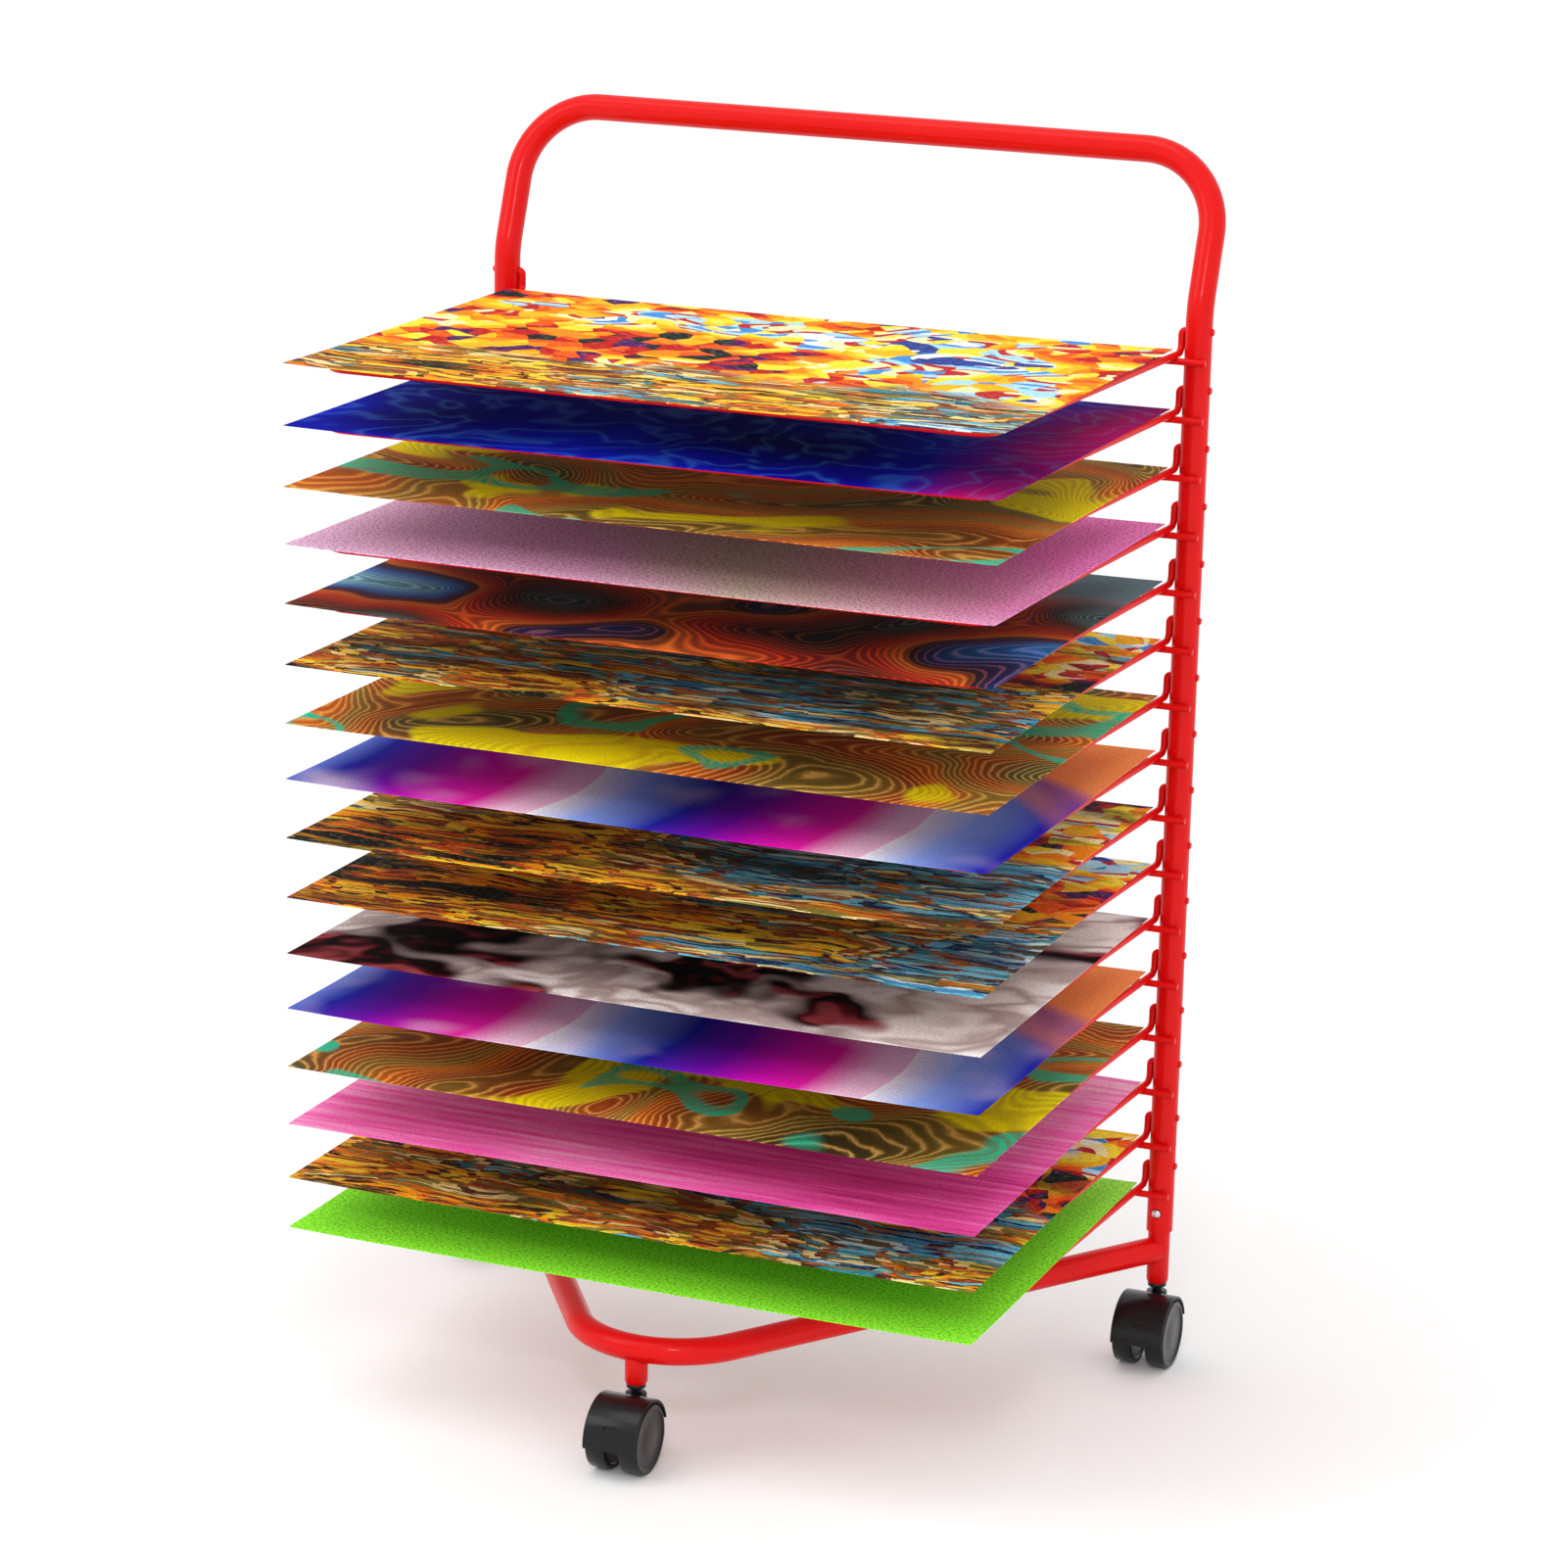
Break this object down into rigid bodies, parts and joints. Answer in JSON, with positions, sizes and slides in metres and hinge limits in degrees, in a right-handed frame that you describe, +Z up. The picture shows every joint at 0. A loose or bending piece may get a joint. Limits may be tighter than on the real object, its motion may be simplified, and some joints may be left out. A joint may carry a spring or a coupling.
{
  "type": "art drying rack",
  "caption": "Mobile art drying rack: bent red tube frame with a leaning push handle, hinged wire shelves holding painted sheets, and a bowed base on swivel casters.",
  "frame": {"origin": "on the floor, under the middle of the rack's outline", "axes": "+Z up, +X to the rack's right seen from its front, -Y to its front"},
  "size_m": [0.569, 0.4318, 0.8856],
  "materials": {
    "red_enamel": "glossy red powder coat",
    "black_plastic": "semi-gloss moulded black plastic",
    "bright_steel": "zinc-plated steel",
    "spring_steel": "tempered spring strip",
    "painted_paper": "matt drawing paper with dried paint"
  },
  "bodies": {
    "frame": {"frame_tube": "red_enamel", "base_bow": "red_enamel", "front_caster_tube": "red_enamel", "rear_leg_left": "red_enamel", "rear_leg_right": "red_enamel", "snap_spring_left": "spring_steel", "snap_spring_right": "spring_steel", "caster_socket_front": "black_plastic", "caster_socket_rear_left": "black_plastic", "caster_socket_rear_right": "black_plastic"},
    "level_01": {"shelf_01": "red_enamel", "sheet_01": "painted_paper"},
    "level_02": {"shelf_02": "red_enamel", "sheet_02": "painted_paper"},
    "level_03": {"shelf_03": "red_enamel", "sheet_03": "painted_paper"},
    "level_04": {"shelf_04": "red_enamel", "sheet_04": "painted_paper"},
    "level_05": {"shelf_05": "red_enamel", "sheet_05": "painted_paper"},
    "level_06": {"shelf_06": "red_enamel", "sheet_06": "painted_paper"},
    "level_07": {"shelf_07": "red_enamel", "sheet_07": "painted_paper"},
    "level_08": {"shelf_08": "red_enamel", "sheet_08": "painted_paper"},
    "level_09": {"shelf_09": "red_enamel", "sheet_09": "painted_paper"},
    "level_10": {"shelf_10": "red_enamel", "sheet_10": "painted_paper"},
    "level_11": {"shelf_11": "red_enamel", "sheet_11": "painted_paper"},
    "level_12": {"shelf_12": "red_enamel", "sheet_12": "painted_paper"},
    "level_13": {"shelf_13": "red_enamel", "sheet_13": "painted_paper"},
    "level_14": {"shelf_14": "red_enamel", "sheet_14": "painted_paper"},
    "level_15": {"shelf_15": "red_enamel", "sheet_15": "painted_paper"},
    "level_16": {"shelf_16": "red_enamel", "sheet_16": "painted_paper"},
    "button_left": {"snap_button_left": "bright_steel"},
    "button_right": {"snap_button_right": "bright_steel"},
    "caster_front": {"caster_stem_front": "black_plastic", "caster_hood_front": "black_plastic", "caster_axle_front": "bright_steel"},
    "wheel_front_a": {"wheel_front_a": "black_plastic"},
    "wheel_front_b": {"wheel_front_b": "black_plastic"},
    "caster_rear_left": {"caster_stem_rear_left": "black_plastic", "caster_hood_rear_left": "black_plastic", "caster_axle_rear_left": "bright_steel"},
    "wheel_rear_left_a": {"wheel_rear_left_a": "black_plastic"},
    "wheel_rear_left_b": {"wheel_rear_left_b": "black_plastic"},
    "caster_rear_right": {"caster_stem_rear_right": "black_plastic", "caster_hood_rear_right": "black_plastic", "caster_axle_rear_right": "bright_steel"},
    "wheel_rear_right_a": {"wheel_rear_right_a": "black_plastic"},
    "wheel_rear_right_b": {"wheel_rear_right_b": "black_plastic"}
  },
  "joints": [
    {"name": "shelf_01_lift", "type": "hinge", "parent": "frame", "child": "level_01", "pos_m": [0, 0.16826, 0.758], "axis": [-1, 0, 0], "range_deg": [0, 70]},
    {"name": "shelf_02_lift", "type": "hinge", "parent": "frame", "child": "level_02", "pos_m": [0, 0.16826, 0.717], "axis": [-1, 0, 0], "range_deg": [0, 70]},
    {"name": "shelf_03_lift", "type": "hinge", "parent": "frame", "child": "level_03", "pos_m": [0, 0.16826, 0.676], "axis": [-1, 0, 0], "range_deg": [0, 70]},
    {"name": "shelf_04_lift", "type": "hinge", "parent": "frame", "child": "level_04", "pos_m": [0, 0.16826, 0.635], "axis": [-1, 0, 0], "range_deg": [0, 70]},
    {"name": "shelf_05_lift", "type": "hinge", "parent": "frame", "child": "level_05", "pos_m": [0, 0.16826, 0.594], "axis": [-1, 0, 0], "range_deg": [0, 70]},
    {"name": "shelf_06_lift", "type": "hinge", "parent": "frame", "child": "level_06", "pos_m": [0, 0.16826, 0.553], "axis": [-1, 0, 0], "range_deg": [0, 70]},
    {"name": "shelf_07_lift", "type": "hinge", "parent": "frame", "child": "level_07", "pos_m": [0, 0.16826, 0.512], "axis": [-1, 0, 0], "range_deg": [0, 70]},
    {"name": "shelf_08_lift", "type": "hinge", "parent": "frame", "child": "level_08", "pos_m": [0, 0.16826, 0.471], "axis": [-1, 0, 0], "range_deg": [0, 70]},
    {"name": "shelf_09_lift", "type": "hinge", "parent": "frame", "child": "level_09", "pos_m": [0, 0.16826, 0.43], "axis": [-1, 0, 0], "range_deg": [0, 70]},
    {"name": "shelf_10_lift", "type": "hinge", "parent": "frame", "child": "level_10", "pos_m": [0, 0.16826, 0.389], "axis": [-1, 0, 0], "range_deg": [0, 70]},
    {"name": "shelf_11_lift", "type": "hinge", "parent": "frame", "child": "level_11", "pos_m": [0, 0.16826, 0.348], "axis": [-1, 0, 0], "range_deg": [0, 70]},
    {"name": "shelf_12_lift", "type": "hinge", "parent": "frame", "child": "level_12", "pos_m": [0, 0.16826, 0.307], "axis": [-1, 0, 0], "range_deg": [0, 70]},
    {"name": "shelf_13_lift", "type": "hinge", "parent": "frame", "child": "level_13", "pos_m": [0, 0.16826, 0.266], "axis": [-1, 0, 0], "range_deg": [0, 70]},
    {"name": "shelf_14_lift", "type": "hinge", "parent": "frame", "child": "level_14", "pos_m": [0, 0.16826, 0.225], "axis": [-1, 0, 0], "range_deg": [0, 70]},
    {"name": "shelf_15_lift", "type": "hinge", "parent": "frame", "child": "level_15", "pos_m": [0, 0.16826, 0.184], "axis": [-1, 0, 0], "range_deg": [0, 70]},
    {"name": "shelf_16_lift", "type": "hinge", "parent": "frame", "child": "level_16", "pos_m": [0, 0.16826, 0.147], "axis": [-1, 0, 0], "range_deg": [0, 70]},
    {"name": "snap_button_left_press", "type": "slide", "parent": "frame", "child": "button_left", "axis": [0, 1, 0], "range_m": [0, 0.0034], "stiffness_N_per_m": 1500, "springref_m": -0.002, "deforming": ["snap_spring_left"]},
    {"name": "snap_button_right_press", "type": "slide", "parent": "frame", "child": "button_right", "axis": [0, 1, 0], "range_m": [0, 0.0034], "stiffness_N_per_m": 1500, "springref_m": -0.002, "deforming": ["snap_spring_right"]},
    {"name": "caster_front_swivel", "type": "hinge", "parent": "frame", "child": "caster_front", "pos_m": [0, -0.16974, 0.057], "axis": [0, 0, 1], "continuous": true},
    {"name": "wheel_front_a_spin", "type": "hinge", "parent": "caster_front", "child": "wheel_front_a", "pos_m": [0, -0.18774, 0.02452], "axis": [1, 0, 0], "continuous": true},
    {"name": "wheel_front_b_spin", "type": "hinge", "parent": "caster_front", "child": "wheel_front_b", "pos_m": [0, -0.18774, 0.02452], "axis": [1, 0, 0], "continuous": true},
    {"name": "caster_rear_left_swivel", "type": "hinge", "parent": "frame", "child": "caster_rear_left", "pos_m": [-0.265, 0.16826, 0.057], "axis": [0, 0, 1], "continuous": true},
    {"name": "wheel_rear_left_a_spin", "type": "hinge", "parent": "caster_rear_left", "child": "wheel_rear_left_a", "pos_m": [-0.265, 0.15026, 0.02452], "axis": [1, 0, 0], "continuous": true},
    {"name": "wheel_rear_left_b_spin", "type": "hinge", "parent": "caster_rear_left", "child": "wheel_rear_left_b", "pos_m": [-0.265, 0.15026, 0.02452], "axis": [1, 0, 0], "continuous": true},
    {"name": "caster_rear_right_swivel", "type": "hinge", "parent": "frame", "child": "caster_rear_right", "pos_m": [0.265, 0.16826, 0.057], "axis": [0, 0, 1], "continuous": true},
    {"name": "wheel_rear_right_a_spin", "type": "hinge", "parent": "caster_rear_right", "child": "wheel_rear_right_a", "pos_m": [0.265, 0.15026, 0.02452], "axis": [1, 0, 0], "continuous": true},
    {"name": "wheel_rear_right_b_spin", "type": "hinge", "parent": "caster_rear_right", "child": "wheel_rear_right_b", "pos_m": [0.265, 0.15026, 0.02452], "axis": [1, 0, 0], "continuous": true}
  ],
  "couplings": [
    {"joint": "shelf_01_lift", "follows": "shelf_16_lift", "ratio": 1},
    {"joint": "shelf_02_lift", "follows": "shelf_16_lift", "ratio": 1},
    {"joint": "shelf_03_lift", "follows": "shelf_16_lift", "ratio": 1},
    {"joint": "shelf_04_lift", "follows": "shelf_16_lift", "ratio": 1},
    {"joint": "shelf_05_lift", "follows": "shelf_16_lift", "ratio": 1},
    {"joint": "shelf_06_lift", "follows": "shelf_16_lift", "ratio": 1},
    {"joint": "shelf_07_lift", "follows": "shelf_16_lift", "ratio": 1},
    {"joint": "shelf_08_lift", "follows": "shelf_16_lift", "ratio": 1},
    {"joint": "shelf_09_lift", "follows": "shelf_16_lift", "ratio": 1},
    {"joint": "shelf_10_lift", "follows": "shelf_16_lift", "ratio": 1},
    {"joint": "shelf_11_lift", "follows": "shelf_16_lift", "ratio": 1},
    {"joint": "shelf_12_lift", "follows": "shelf_16_lift", "ratio": 1},
    {"joint": "shelf_13_lift", "follows": "shelf_16_lift", "ratio": 1},
    {"joint": "shelf_14_lift", "follows": "shelf_16_lift", "ratio": 1},
    {"joint": "shelf_15_lift", "follows": "shelf_16_lift", "ratio": 1}
  ]
}
